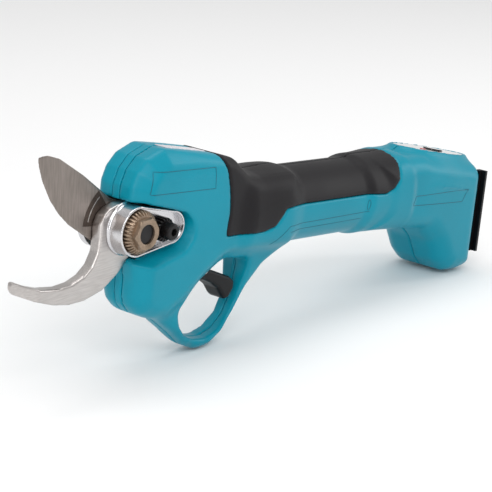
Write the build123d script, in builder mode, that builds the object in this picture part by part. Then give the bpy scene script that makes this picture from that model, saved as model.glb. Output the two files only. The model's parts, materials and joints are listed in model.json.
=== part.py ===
"""Battery electric pruner without its battery.

Drawn in the tool's own frame: X along the handle (blades towards -X, battery end towards +X), Z up
across the handle, Y across the tool with the left side at -Y. The blade pivot is on X = Z = 0.
At export every piece is moved together so that the tool stands on its trigger guard and its heel.
"""

from build123d import *
import math
import os

# ---- driving dimensions, millimetres and degrees ----
wall = 2.4                      # moulded housing wall
head_half_width = 14.5
guard_half_width = 8.0
handle_radius = 17.0
core_radius = 15.4              # housing radius under the rubber
core_bore_radius = 13.4
rim_radius = 18.2               # raised rim at the grip's rear end
grip_front = 48.0
grip_end = 157.0
grip_low = 3.0                  # lower edge of the rubber along the handle
rear_half_width = 18.5
rear_face = 237.0
heel_low = -43.0
guard_low = -58.3

bolt_radius = 4.0               # M8 pivot bolt
bolt_end = -16.0
hook_thick = 5.0                # fixed blade, Y from -5 to 0
blade_left = 0.15               # moving blade, left face
blade_thick = 4.0
bush_radius = 6.0
hub_radius = 11.0
holder_left = -10.0             # left face of the aluminium blade holder
gear_module = 0.5
nut_teeth = 34
nut_hex_flats = 12.0
pinion_teeth = 18
pinion_x = gear_module * (nut_teeth + pinion_teeth) / 2
tooth_depth = 0.95
tooth_rise = 0.4                # tooth tip above the pitch circle
lock_screw_radius = 2.0         # M4

crank_radius = 14.0             # moving blade's drive pin from the pivot
crank_angle = 6.0               # its angle at rest, blades open
link_length = 26.0
link_left = 4.45
link_thick = 3.5
link_pin_radius = 2.6
link_eye_play = 1.5             # free play in the link's front eye
nut_block_gap = 8.0             # from the yoke pin to the ball nut
nut_block_length = 28.0
screw_radius = 4.0
screw_front = 51.0
plate_left = 8.2                # right-hand frame plate
plate_thick = 3.0

trigger_pivot = (49.0, -23.0)
trigger_half_width = 5.0
panel_centre = (212.0, 0.0, 15.6)
panel_slope = 8.0
button_radius = 4.6

os.makedirs("parts", exist_ok=True)
pieces = []


def side(y):
    """Plane at one Y, looked at from the left: sketch x is X, sketch y is Z, extrude goes to -Y."""
    return Plane.XZ.offset(-y)


def across(x):
    """Plane at one X: sketch x is Y, sketch y is Z, extrude goes to +X."""
    return Plane.YZ.offset(x)


def finish(builder, name):
    """Name a finished piece and keep it for export."""
    builder.part.label = name
    pieces.append(builder.part)


def polar(radius, degrees, centre=(0.0, 0.0)):
    """Point at a radius and angle from a centre."""
    turn = math.radians(degrees)
    return (centre[0] + radius * math.cos(turn), centre[1] + radius * math.sin(turn))


crank_pin = polar(crank_radius, crank_angle)
yoke_x = crank_pin[0] + math.sqrt(link_length**2 - crank_pin[1]**2)

# ---- outlines shared by the housing halves ----
nose_top = [(-1, 11.5), (-1, 17), (1.5, 23), (6, 28), (14, 31.5)]
head_back = [(47, 26.5), (57, 23.5), (64, 18.5), (72, 16), (93, 16), (93, -16)]
head_low = [(62, -18.5), (50, -22), (40, -32), (34, -40), (22, -40), (10, -35.5), (6.5, -32), (5, -27)]
boss_lip = [(9, -19.5), (14, -14.5), (27, -9.5), (31, -3), (30, 3), (24, 7), (12, 9.5)]
guard_outside = [(8, -34), (22, -40), (35, -49), (43, -55)]
guard_heel = [(59, -57.7), (67, -53), (73.5, -44.5), (80, -34), (86.5, -25.5), (95, -18.5), (95, -12)]
loop_points = [(60, -18.5), (50, -23), (39.5, -33), (34.6, -39), (37, -46), (46, -51.6), (56, -52.2),
               (63.5, -48.5), (69.8, -39), (73.6, -30), (77.5, -20.5)]


def head_solid(half_width, outline, shoulder):
    """Left half of the head: the side outline cut to a section with a sloping shoulder."""
    with BuildPart() as head:
        with BuildSketch(side(0)):
            with BuildLine():
                Polyline(*outline, close=True)
            make_face()
        extrude(amount=half_width)
        with BuildSketch(across(-5)):
            with BuildLine():
                Polyline((0, 40), (0, -70), (-half_width + 4, -70), (-half_width + 2, -26),
                         (-half_width, -12), (-half_width, shoulder), (-half_width + 6.5, 40), close=True)
            make_face()
        extrude(amount=110, mode=Mode.INTERSECT)
    return head.part


def half_round(x_from, x_to, radius, low=-30.0):
    """Left half of a round bar along the handle, kept above one height."""
    with BuildPart() as bar:
        with BuildSketch(across(x_from)):
            Circle(radius)
            with Locations((-20, low + 30)):
                Rectangle(40, 60, mode=Mode.INTERSECT)
        extrude(amount=x_to - x_from)
    return bar.part


def rear_solid(inset):
    """Left half of the rear housing, or its hollow when inset by the wall."""
    with BuildPart() as rear:
        with BuildSketch(side(0)):
            with BuildLine():
                Polyline((160 + inset, -17.6 + inset), (160 + inset, 17 - inset), (176, 19.2 - inset),
                         (188, 19.2 - inset), (rear_face - inset, 12.5 - inset),
                         (rear_face - inset, heel_low + inset), (219, heel_low + inset),
                         (213 + inset, -39), (204.5 + inset, -27), (197, -21.5 + inset), (188, -20.5 + inset),
                         close=True)
            make_face()
        extrude(amount=rear_half_width - inset)
        upright = rear.edges().filter_by(Axis.Z).group_by(Axis.Y)[0]
        fillet(upright.sort_by(Axis.X)[-1], radius=7 - inset)
    return rear.part


head_outline = nose_top + head_back + head_low + boss_lip
inner_head = [(1.6, 8), (1.6, 16.5), (4, 22), (8, 26.5), (14.5, 28.8), (46, 24), (56, 21), (62.5, 16.5),
              (72, 13.4), (93, 13.4), (93, -13.4), (62, -16), (48.5, -19.5), (38, -30.5), (32, -37.4),
              (22.5, -37.4), (11, -33.4), (8.8, -31), (7.4, -26), (7.4, -15), (16, -8), (16, 6)]


def housing_half():
    """Left half shell: head, trigger guard, handle core and rear housing, hollowed."""
    with BuildPart() as half:
        with BuildSketch(side(0)):
            with BuildLine():
                outside = Polyline((20, -14), (5, -27), *guard_outside)
                heel = ThreePointArc(outside @ 1, (51, guard_low), (59, -57.7))
                Polyline(heel @ 1, *guard_heel[1:], (20, -14))
            make_face()
            with BuildLine():
                Polyline(*loop_points, close=True)
            make_face(mode=Mode.SUBTRACT)
        extrude(amount=guard_half_width)
        add(head_solid(head_half_width, head_outline, 17))
        add(half_round(70, 162, core_radius))
        add(half_round(70, 162, handle_radius, low=-60 + grip_low))
        add(rear_solid(0))
        # hollows
        add(head_solid(head_half_width - wall, inner_head, 15), mode=Mode.SUBTRACT)
        add(half_round(60, 165, core_bore_radius), mode=Mode.SUBTRACT)
        add(rear_solid(wall), mode=Mode.SUBTRACT)
    return half.part


def boss_window(half_width):
    """The notch in a head side that the blade holder stands in, open to the front."""
    with BuildPart() as window:
        with BuildSketch(side(0)):
            with BuildLine():
                Polyline((-20, 9), (12, 9.4), (24, 6.9), (29.9, 3), (30.9, -3), (26.9, -9.4), (14, -14.4),
                         (9, -19.4), (4.9, -27), (-20, -27), close=True)
            make_face()
        extrude(amount=half_width)
    return window.part


# ---- control panel plane on the sloping top of the rear housing ----
panel_plane = Plane(
    origin=panel_centre,
    x_dir=(math.cos(math.radians(panel_slope)), 0, -math.sin(math.radians(panel_slope))),
    z_dir=(math.sin(math.radians(panel_slope)), 0, math.cos(math.radians(panel_slope))),
)
panel_thick = 1.6
panel_long = 24.0
panel_wide = 12.2

with BuildPart() as panel_recess:
    with BuildSketch(panel_plane.offset(-panel_thick)):
        Ellipse(panel_long + 0.1, panel_wide + 0.1)
    extrude(amount=8)
    with BuildSketch(panel_plane.offset(-9)):
        SlotOverall(2 * panel_long - 12, 2 * panel_wide - 8)
    extrude(amount=9)

# ---- screw posts that hold the halves together ----
post_places = [(36, 20.7), (16, -31), (29.5, -41), (170, 11), (176, -12), (228, -36), (229, 4)]
post_depths = [12.0, 11.2, 7.4, 17.2, 17.2, 17.2, 17.2]   # to inside the left wall
post_radius = 3.4
screw_hole_radius = 1.25
screw_depth = 6.0
screw_seat = 3.0                # from the post's outer end down to the screw head's seat
screw_shank_radius = 1.5
screw_head_radius = 2.8


def posts():
    """Round posts from the left wall to the seam at every screw."""
    with BuildPart() as group:
        for (x, z), depth in zip(post_places, post_depths):
            with BuildSketch(side(0)):
                with Locations((x, z)):
                    Circle(post_radius)
            extrude(amount=depth)
    return group.part


# ---- rubber grips, one moulded on each half ----
with BuildPart() as left_grip:
    with BuildSketch(side(-head_half_width)):
        with BuildLine():
            Polyline((grip_front - 8, 22), (grip_front - 4, 16), (grip_front, 8), (grip_front, -5.2),
                     (75, -5.2), (80, -3), (84, grip_low), (84, 14), (66, 15.6), (58, 20), (50, 22), close=True)
        make_face()
    extrude(amount=2.1)
    add(half_round(72, grip_end, handle_radius, low=grip_low))
    add(half_round(147, grip_end, rim_radius, low=-19))
    add(half_round(60, grip_end + 1, core_radius), mode=Mode.SUBTRACT)
    with BuildSketch(side(0)):
        with Locations((115.5, -20)):
            Rectangle(63, 2 * (20 + grip_low))
    extrude(amount=30, mode=Mode.SUBTRACT)
finish(left_grip, "left_grip")

with BuildPart() as right_grip:
    mirror(left_grip.part, about=Plane.XZ)
finish(right_grip, "right_grip")

# ---- seam strips at the nose: painted edges of the cast head frame ----
strip_half_width = 2.0
with BuildPart() as upper_nose_strip:
    with BuildSketch(side(strip_half_width)):
        with BuildLine():
            Polyline((-1, 11.5), (-1, 17), (1.5, 23), (6, 28), (14, 31.5), (15.5, 31.3), (15, 28.9),
                     (8, 26.4), (4, 21.9), (1.6, 16.4), (1.6, 11.5), close=True)
        make_face()
    extrude(amount=2 * strip_half_width)
finish(upper_nose_strip, "upper_nose_strip")

with BuildPart() as lower_nose_strip:
    with BuildSketch(side(strip_half_width)):
        with BuildLine():
            Polyline((5, -27), (6.5, -32), (10, -35.5), (16, -37.7), (16.8, -35.5), (11, -33.3),
                     (8.8, -30.9), (7.4, -27), close=True)
        make_face()
    extrude(amount=2 * strip_half_width)
finish(lower_nose_strip, "lower_nose_strip")

# ---- battery interface on the rear face ----
with BuildPart() as terminal_block:
    with BuildSketch(across(rear_face - 9)):
        with Locations((0, -16)):
            RectangleRounded(20, 22, 2)
    extrude(amount=12.5)
    with BuildSketch(across(rear_face + 3.5)):
        with GridLocations(5.2, 1, 3, 1):
            with Locations((0, -16)):
                Rectangle(1.6, 16)
    extrude(amount=-8, mode=Mode.SUBTRACT)
finish(terminal_block, "terminal_block")

with BuildPart() as battery_terminals:
    with BuildSketch(across(rear_face - 4.4)):
        with GridLocations(5.2, 1, 3, 1):
            with Locations((0, -16)):
                Rectangle(0.9, 14)
    extrude(amount=7.2)
finish(battery_terminals, "battery_terminals")

with BuildPart() as battery_rails:
    with BuildSketch(across(rear_face)):
        with GridLocations(27, 1, 2, 1):
            with Locations((0, -14)):
                Rectangle(2.4, 40)
    extrude(amount=3.2)
    with BuildSketch(across(rear_face + 1.8)):
        with GridLocations(30.2, 1, 2, 1):
            with Locations((0, -14)):
                Rectangle(4, 40)
    extrude(amount=1.4)
finish(battery_rails, "battery_rails")

# ---- room in the housings for the terminal block and the trigger ----
with BuildPart() as terminal_pocket:
    with BuildSketch(across(rear_face - 9)):
        with Locations((0, -16)):
            RectangleRounded(20, 22, 2)
    extrude(amount=12.5)

with BuildPart() as trigger_pocket:
    with BuildSketch(side(trigger_half_width + 0.4)):
        with BuildLine():
            Polyline((42.8, -11), (58, -11), (61, -18.5), (64, -24), (58, -30), (42.8, -31), close=True)
        make_face()
    extrude(amount=2 * trigger_half_width + 0.8)
    with BuildSketch(side(trigger_half_width + 2.4)):
        with Locations(trigger_pivot):
            Circle(3.6)
    extrude(amount=2.4)
    with BuildSketch(side(7)):
        with Locations(trigger_pivot):
            Circle(1.5)
    extrude(amount=14)

# ---- housing halves ----
with BuildPart() as plain_half:
    add(housing_half())
    add(boss_window(40), mode=Mode.SUBTRACT)
    add(posts())
    for cutter in (left_grip, panel_recess, terminal_pocket, upper_nose_strip, lower_nose_strip,
                   trigger_pocket):
        add(cutter.part, mode=Mode.SUBTRACT)

with BuildPart() as left_housing:
    add(plain_half.part)
    for x, z in post_places:
        with BuildSketch(side(0)):
            with Locations((x, z)):
                Circle(screw_hole_radius)
        extrude(amount=screw_depth, mode=Mode.SUBTRACT)
finish(left_housing, "left_housing")

with BuildPart() as right_housing:
    mirror(plain_half.part, about=Plane.XZ)
    add(trigger_pocket.part, mode=Mode.SUBTRACT)
    for (x, z), depth in zip(post_places, post_depths):
        with BuildSketch(side(0)):
            with Locations((x, z)):
                Circle(screw_shank_radius + 0.1)
        extrude(amount=-30, mode=Mode.SUBTRACT)
        with BuildSketch(side(depth - screw_seat)):
            with Locations((x, z)):
                Circle(screw_head_radius + 0.2)
        extrude(amount=-20, mode=Mode.SUBTRACT)
finish(right_housing, "right_housing")

with BuildPart() as housing_screws:
    for (x, z), depth in zip(post_places, post_depths):
        with BuildSketch(side(depth - screw_seat)):
            with Locations((x, z)):
                Circle(screw_hole_radius)
        extrude(amount=depth - screw_seat + screw_depth)
        with BuildSketch(side(depth - screw_seat)):
            with Locations((x, z)):
                Circle(screw_head_radius)
                RegularPolygon(1.3, 6, mode=Mode.SUBTRACT)
        extrude(amount=-2)
finish(housing_screws, "housing_screws")

# ---- fixed hook blade ----
with BuildPart() as fixed_blade:
    with BuildSketch(side(0)):
        with BuildLine():
            tip_face = Line((-57, -15.5), (-56, -20.6))
            belly = ThreePointArc(tip_face @ 1, (-38.5, -26.5), (-22, -27.7))
            heel = ThreePointArc(belly @ 1, (-8, -23.2), (4, -11.5))
            root_low = Line(heel @ 1, (24, -8))
            root_end = ThreePointArc(root_low @ 1, (31, 0), (24, 8))
            root_top = Line(root_end @ 1, (9, 10.2))
            shoulder = Line(root_top @ 1, (0, 10.6))
            crown = ThreePointArc(shoulder @ 1, (-9.4, 8.6), (-14.2, 2.6))
            jaw = ThreePointArc(crown @ 1, (-18.3, -14.6), (-32, -20.6))
            Spline(jaw @ 1, (-45, -19.6), tip_face @ 0)
        make_face()
        Circle(bolt_radius + 0.02, mode=Mode.SUBTRACT)
    extrude(amount=hook_thick)
    chamfer(fixed_blade.faces().sort_by(Axis.Y)[0].edges().sort_by(Axis.X)[0], length=2.6, length2=0.9)
finish(fixed_blade, "fixed_blade")

# ---- moving blade with its crank lug ----
with BuildPart() as moving_blade:
    with BuildSketch(side(blade_left + blade_thick)):
        with BuildLine():
            edge = ThreePointArc((-46.5, 30.9), (-38.4, 13.7), (-18.9, -2.2))
            heel = ThreePointArc(edge @ 1, (-15.6, -5.4), polar(hub_radius, 215))
            ThreePointArc(heel @ 1, polar(hub_radius, 280), polar(hub_radius, 345))
            Line(polar(hub_radius, 345), polar(hub_radius, 60))
            ThreePointArc(polar(hub_radius, 60), polar(hub_radius, 85), polar(hub_radius, 108))
            Polyline(polar(hub_radius, 108), (-12.2, 16.2), (-34.4, 29.4), (-46.5, 30.9))
        make_face()
        Circle(hub_radius)
        with Locations(crank_pin):
            Circle(4.6)
        Circle(bush_radius + 0.03, mode=Mode.SUBTRACT)
        with Locations(crank_pin):
            Circle(link_pin_radius, mode=Mode.SUBTRACT)
    extrude(amount=blade_thick)
finish(moving_blade, "moving_blade")

with BuildPart() as crank_pin_piece:
    with BuildSketch(side(link_left + link_thick + 0.05)):
        with Locations(crank_pin):
            Circle(link_pin_radius)
    extrude(amount=link_left + link_thick + 0.05 - blade_left)
finish(crank_pin_piece, "crank_pin")

with BuildPart() as pivot_bush:
    with BuildSketch(side(blade_left + blade_thick)):
        Circle(bush_radius)
        Circle(bolt_radius + 0.03, mode=Mode.SUBTRACT)
    extrude(amount=blade_thick)
finish(pivot_bush, "pivot_bush")

with BuildPart() as thrust_spacer:
    with BuildSketch(side(plate_left)):
        Circle(6.6)
        Circle(bolt_radius + 0.02, mode=Mode.SUBTRACT)
    extrude(amount=plate_left - blade_left - blade_thick - 0.1)
finish(thrust_spacer, "thrust_spacer")

# ---- aluminium blade holder: teardrop boss with a sunk floor round the nut ----
holder_small_x = 19.4
with BuildPart() as blade_holder:
    with BuildSketch(side(-hook_thick)):
        with BuildLine():
            base_front = ThreePointArc(polar(13, 150), polar(13, 195), polar(13, 240))
            base_low = Line(base_front @ 1, (16, -9.2))
            base_end = ThreePointArc(base_low @ 1, (27.6, 0), (16, 9.2))
            Line(base_end @ 1, base_front @ 0)
        make_face()
    extrude(amount=1.6)
    with BuildSketch(side(-hook_thick - 1.6)):
        with BuildLine():
            big = ThreePointArc((3.1, 9.9), (-10.4, 0), (3.1, -9.9))
            under = Line(big @ 1, (20.5, -7))
            small = ThreePointArc(under @ 1, (holder_small_x + 7, 0), (20.5, 7))
            Line(small @ 1, big @ 0)
        make_face()
    extrude(amount=-holder_left - hook_thick - 1.6)
    fillet(blade_holder.faces().sort_by(Axis.Y)[0].edges(), radius=0.8)
    with BuildSketch(side(0)):
        Circle(bolt_radius + 0.02)
        with Locations((pinion_x, 0)):
            Circle(lock_screw_radius)
    extrude(amount=30, mode=Mode.SUBTRACT)
finish(blade_holder, "blade_holder")


# ---- adjusting nut and its locking pinion ----
def gear_face(teeth, outer, depth, phase):
    """Toothed outline: a disc with straight-sided notches between the teeth."""
    pitch = 360 / teeth
    points = []
    for index in range(teeth):
        centre = phase + index * pitch
        points.append(polar(outer - depth, centre - 0.28 * pitch))
        points.append(polar(outer, centre - 0.11 * pitch))
        points.append(polar(outer, centre + 0.11 * pitch))
        points.append(polar(outer - depth, centre + 0.28 * pitch))
    return points


nut_left = holder_left - 0.15
flange_thick = 4.6
with BuildPart() as adjusting_nut:
    with BuildSketch(side(nut_left)):
        with BuildLine():
            Polyline(*gear_face(nut_teeth, gear_module * nut_teeth / 2 + tooth_rise, tooth_depth, 0), close=True)
        make_face()
    extrude(amount=flange_thick)
    with BuildSketch(side(nut_left - flange_thick)):
        RegularPolygon(nut_hex_flats / 2, 6, major_radius=False, rotation=8)
    extrude(amount=2.3)
    with BuildSketch(side(0)):
        Circle(bolt_radius + 0.03)
    extrude(amount=30, mode=Mode.SUBTRACT)
finish(adjusting_nut, "adjusting_nut")

with BuildPart() as lock_pinion:
    with BuildSketch(side(nut_left)):
        with BuildLine():
            Polyline(*gear_face(pinion_teeth, gear_module * pinion_teeth / 2 + tooth_rise, tooth_depth,
                                180 / pinion_teeth), close=True)
        make_face()
        Circle(lock_screw_radius + 0.03, mode=Mode.SUBTRACT)
    extrude(amount=flange_thick + 0.1)
pinion_move = Location((pinion_x, 0, 0))
lock_pinion.part.locate(pinion_move)
finish(lock_pinion, "lock_pinion")

with BuildPart() as lock_screw:
    with BuildSketch(side(nut_left - flange_thick - 0.25)):
        with Locations((pinion_x, 0)):
            Circle(3.5)
    extrude(amount=4)
    with BuildSketch(side(nut_left - flange_thick - 0.25 - 4)):
        with Locations((pinion_x, 0)):
            RegularPolygon(1.5, 6, major_radius=False)
    extrude(amount=-2.4, mode=Mode.SUBTRACT)
    with BuildSketch(side(nut_left - flange_thick - 0.25)):
        with Locations((pinion_x, 0)):
            Circle(lock_screw_radius)
    extrude(amount=-9)
finish(lock_screw, "lock_screw")

# ---- pivot bolt and the frame plate it clamps ----
with BuildPart() as pivot_bolt:
    with BuildSketch(side(plate_left + plate_thick)):
        Circle(bolt_radius)
    extrude(amount=plate_left + plate_thick - bolt_end)
    with BuildSketch(side(plate_left + plate_thick)):
        RegularPolygon(6.5, 6, major_radius=False)
    extrude(amount=-3)
finish(pivot_bolt, "pivot_bolt")

with BuildPart() as frame_plate:
    with BuildSketch(side(plate_left + plate_thick)):
        with BuildLine():
            front = ThreePointArc((0, 11), (-11, 0), (0, -11))
            Polyline(front @ 1, (30, -12), (80, -11), (80, 9), (30, 12), front @ 0)
        make_face()
        Circle(bolt_radius + 0.02, mode=Mode.SUBTRACT)
        with Locations((52, 0)):
            SlotOverall(44, 16, mode=Mode.SUBTRACT)
    extrude(amount=plate_thick)
finish(frame_plate, "frame_plate")

with BuildPart() as frame_spacers:
    for x, z in ((17, -9.3), (26, -9.3)):
        with BuildSketch(side(plate_left)):
            with Locations((x, z)):
                Circle(2.3)
        extrude(amount=plate_left)
finish(frame_spacers, "frame_spacers")

# ---- link between the crank and the ball nut's yoke ----
link_angle = math.degrees(math.asin(crank_pin[1] / link_length))
with BuildPart() as drive_link:
    with BuildSketch(side(link_left + link_thick)):
        with Locations(((crank_pin[0] + yoke_x) / 2, crank_pin[1] / 2)):
            SlotCenterToCenter(link_length, 11.2, rotation=-link_angle)
        with Locations(crank_pin):
            Circle(link_pin_radius + link_eye_play, mode=Mode.SUBTRACT)
        with Locations((yoke_x, 0)):
            Circle(link_pin_radius + 0.04, mode=Mode.SUBTRACT)
    extrude(amount=link_thick)
finish(drive_link, "drive_link")

with BuildPart() as yoke_pin:
    with BuildSketch(side(link_left + link_thick + 0.05)):
        with Locations((yoke_x, 0)):
            Circle(link_pin_radius)
    extrude(amount=link_left + link_thick + 0.05 - 0.4)
finish(yoke_pin, "yoke_pin")

nut_front = yoke_x + nut_block_gap
nut_back = nut_front + nut_block_length
with BuildPart() as nut_yoke:
    with BuildSketch(side(4.2)):
        with BuildLine():
            tongue = ThreePointArc((yoke_x, 5), (yoke_x - 5, 0), (yoke_x, -5))
            Polyline(tongue @ 1, (nut_front + 2, -5), (nut_front + 2, 5), tongue @ 0)
        make_face()
        with Locations((yoke_x, 0)):
            Circle(link_pin_radius, mode=Mode.SUBTRACT)
    extrude(amount=3.8)
    with BuildSketch(across(nut_front)):
        Circle(7.6)
    extrude(amount=2)
    with BuildSketch(across(nut_front)):
        Circle(screw_radius + 0.6)
    extrude(amount=2, mode=Mode.SUBTRACT)
finish(nut_yoke, "nut_yoke")

with BuildPart() as ball_nut:
    with BuildSketch(across(nut_front + 2)):
        Circle(7.6)
        Circle(screw_radius + 0.08, mode=Mode.SUBTRACT)
    extrude(amount=nut_block_length - 2)
finish(ball_nut, "ball_nut")

# ---- ball screw, bearings and gearbox, all on the handle's axis ----
bearing_front = 80.0
gearbox_front = 93.0
motor_front = 112.0
motor_back = 150.0
with BuildPart() as ball_screw:
    with BuildSketch(across(screw_front)):
        Circle(screw_radius)
    extrude(amount=bearing_front - screw_front)
    groove_pitch = 2.0
    with BuildSketch(side(0)):
        for index in range(13):
            with Locations((screw_front + 1.5 + groove_pitch * index, screw_radius)):
                Circle(0.5)
    revolve(axis=Axis.X, mode=Mode.SUBTRACT)
    with BuildSketch(across(bearing_front)):
        Circle(3.0)
    extrude(amount=gearbox_front + 6 - bearing_front)
finish(ball_screw, "ball_screw")

with BuildPart() as bearing_housing:
    with BuildSketch(across(bearing_front)):
        Circle(core_bore_radius - 0.2)
        Circle(9.5, mode=Mode.SUBTRACT)
    extrude(amount=gearbox_front - bearing_front)
    with BuildSketch(side(40)):
        with Locations((78, 0)):
            Rectangle(5, 60)
    extrude(amount=80, mode=Mode.SUBTRACT)
finish(bearing_housing, "bearing_housing")

with BuildPart() as screw_bearings:
    for front in (bearing_front + 0.6, bearing_front + 6.8):
        for inner, outer in ((3.03, 5.2), (7.0, 9.5)):
            with BuildSketch(across(front)):
                Circle(outer)
                Circle(inner, mode=Mode.SUBTRACT)
            extrude(amount=5.4)
finish(screw_bearings, "screw_bearings")

with BuildPart() as gearbox_case:
    with BuildSketch(across(gearbox_front)):
        Circle(core_bore_radius - 0.2)
    extrude(amount=motor_front - gearbox_front)
    with BuildSketch(across(gearbox_front + 2)):
        Circle(11)
    extrude(amount=motor_front - gearbox_front - 2, mode=Mode.SUBTRACT)
    with BuildSketch(across(gearbox_front)):
        Circle(4)
    extrude(amount=2, mode=Mode.SUBTRACT)
finish(gearbox_case, "gearbox_case")

planet_orbit = 6.6
with BuildPart() as planet_carrier:
    with BuildSketch(across(gearbox_front + 3)):
        Circle(9.6)
        Circle(3.0, mode=Mode.SUBTRACT)
    extrude(amount=3)
    with BuildSketch(across(gearbox_front + 6)):
        with PolarLocations(planet_orbit, 3):
            Circle(1.4)
    extrude(amount=8)
finish(planet_carrier, "planet_carrier")

with BuildPart() as planet_gears:
    with BuildSketch(across(gearbox_front + 6.3)):
        with PolarLocations(planet_orbit, 3):
            Circle(3.9)
            Circle(1.4, mode=Mode.SUBTRACT)
    extrude(amount=7)
finish(planet_gears, "planet_gears")

with BuildPart() as motor_can:
    with BuildSketch(across(motor_front)):
        Circle(core_bore_radius - 0.2)
    extrude(amount=motor_back - motor_front)
    with BuildSketch(across(motor_front + 2)):
        Circle(12.2)
    extrude(amount=motor_back - motor_front - 2, mode=Mode.SUBTRACT)
    with BuildSketch(across(motor_front)):
        Circle(2.6)
    extrude(amount=2, mode=Mode.SUBTRACT)
finish(motor_can, "motor_can")

with BuildPart() as motor_end_cap:
    with BuildSketch(across(motor_back)):
        Circle(core_bore_radius - 0.2)
        Circle(1.6, mode=Mode.SUBTRACT)
        with PolarLocations(8, 6):
            Circle(1.6, mode=Mode.SUBTRACT)
    extrude(amount=3)
finish(motor_end_cap, "motor_end_cap")

with BuildPart() as stator:
    with BuildSketch(across(motor_front + 6)):
        Circle(12.2)
        Circle(7.4, mode=Mode.SUBTRACT)
        with PolarLocations(9.6, 9):
            Rectangle(2.6, 1.8, mode=Mode.SUBTRACT)
    extrude(amount=26)
finish(stator, "stator")

with BuildPart() as motor_windings:
    with BuildSketch(across(motor_front + 4)):
        with PolarLocations(9.6, 9):
            Rectangle(2.5, 1.7)
    extrude(amount=30)
finish(motor_windings, "motor_windings")

with BuildPart() as motor_rotor:
    with BuildSketch(across(motor_front + 6)):
        Circle(6.9)
        Circle(1.55, mode=Mode.SUBTRACT)
    extrude(amount=26)
finish(motor_rotor, "motor_rotor")

with BuildPart() as motor_shaft:
    with BuildSketch(across(gearbox_front + 7)):
        Circle(2.4)
    extrude(amount=6)
    with BuildSketch(across(gearbox_front + 13)):
        Circle(1.55)
    extrude(amount=motor_back + 2.6 - gearbox_front - 13)
finish(motor_shaft, "motor_shaft")

# ---- electronics in the rear housing ----
with BuildPart() as controller_board:
    with BuildSketch(Plane.XY.offset(-8)):
        with Locations((196, 0)):
            Rectangle(46, 28)
    extrude(amount=1.6)
finish(controller_board, "controller_board")

with BuildPart() as heat_sink:
    with BuildSketch(Plane.XY.offset(-6.4)):
        with Locations((186, 0)):
            Rectangle(18, 22)
    extrude(amount=2)
    with BuildSketch(Plane.XY.offset(-4.4)):
        with GridLocations(1, 4, 1, 6):
            with Locations((186, 0)):
                Rectangle(18, 1.4)
    extrude(amount=6)
finish(heat_sink, "heat_sink")

with BuildPart() as capacitors:
    with BuildSketch(Plane.XY.offset(-6.4)):
        with Locations((204, -6), (204, 6)):
            Circle(4)
    extrude(amount=9)
finish(capacitors, "capacitors")

with BuildPart() as panel_board:
    with BuildSketch(panel_plane.offset(-8.2)):
        Rectangle(29, 11)
    extrude(amount=1.2)
finish(panel_board, "panel_board")

# ---- control panel ----
with BuildPart() as control_panel:
    with BuildSketch(panel_plane.offset(-panel_thick)):
        Ellipse(panel_long, panel_wide)
        with Locations((4, 0)):
            Circle(button_radius + 0.3, mode=Mode.SUBTRACT)
        with Locations((-9, -3)):
            Circle(1.5, mode=Mode.SUBTRACT)
    extrude(amount=panel_thick)
finish(control_panel, "control_panel")

with BuildPart() as power_button:
    with BuildSketch(panel_plane.offset(-3.4)):
        with Locations((4, 0)):
            Circle(button_radius)
    extrude(amount=4.0)
    with BuildSketch(panel_plane.offset(-4.0)):
        with Locations((4, 0)):
            Circle(button_radius + 1)
    extrude(amount=1.2)
finish(power_button, "power_button")

with BuildPart() as status_lamp:
    with BuildSketch(panel_plane.offset(-3.0)):
        with Locations((-9, -3)):
            Circle(1.45)
    extrude(amount=3.2)
finish(status_lamp, "status_lamp")

# ---- trigger, its pin, spring and switch ----
with BuildPart() as trigger:
    with BuildSketch(side(trigger_half_width)):
        with BuildLine():
            Polyline((45.5, -13.5), (49.5, -13.5), (52.6, -20), (55.5, -24.2), (63.4, -26.8), (71.6, -30.7))
            ThreePointArc((71.6, -30.7), (70.8, -34.4), (67.8, -38.4))
            ThreePointArc((67.8, -38.4), (66.2, -38.4), (64.6, -37.2))
            ThreePointArc((64.6, -37.2), (56.6, -30.2), (47.5, -27.4))
            Polyline((47.5, -27.4), (45.5, -25), (45.5, -13.5))
        make_face()
        with Locations(trigger_pivot):
            Circle(1.55, mode=Mode.SUBTRACT)
    extrude(amount=2 * trigger_half_width)
finish(trigger, "trigger")

with BuildPart() as trigger_pin:
    with BuildSketch(side(7)):
        with Locations(trigger_pivot):
            Circle(1.5)
    extrude(amount=14)
finish(trigger_pin, "trigger_pin")

with BuildPart() as trigger_spring:
    with BuildSketch(side(trigger_half_width + 2.2)):
        with Locations(trigger_pivot):
            Circle(3.2)
            Circle(1.8, mode=Mode.SUBTRACT)
    extrude(amount=1.9)
finish(trigger_spring, "trigger_spring")

with BuildPart() as trigger_switch:
    with BuildSketch(side(3.5)):
        with Locations((35.5, -16)):
            Rectangle(13, 8)
    extrude(amount=7)
    with BuildSketch(across(36)):
        with Locations((0, -15.5)):
            Circle(1.45)
    extrude(amount=8, mode=Mode.SUBTRACT)
finish(trigger_switch, "trigger_switch")

with BuildPart() as switch_plunger:
    with BuildSketch(across(38.5)):
        with Locations((0, -15.5)):
            Circle(1.4)
    extrude(amount=6.7)
finish(switch_plunger, "switch_plunger")

# ---- stand the tool on its guard and heel, then write every piece ----
guard_foot = (51.0, guard_low)
heel_foot = (224.0, heel_low)
stand_angle = math.degrees(math.atan2(heel_foot[1] - guard_foot[1], heel_foot[0] - guard_foot[0]))
stand = Location((0, 0, 0), (0, stand_angle, 0))
box = Compound(children=[piece.moved(stand) for piece in pieces]).bounding_box()
centre = Location((-(box.min.X + box.max.X) / 2, 0, -box.min.Z))
for piece in pieces:
    placed = piece.moved(centre * stand)
    placed.label = piece.label
    export_step(placed, f"parts/{piece.label}.step")
print(f"stand angle {stand_angle:.3f}, shift {centre.position}, yoke {yoke_x:.3f}")
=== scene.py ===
import json
import math

import bpy
import numpy as np
from mathutils import Matrix


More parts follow.
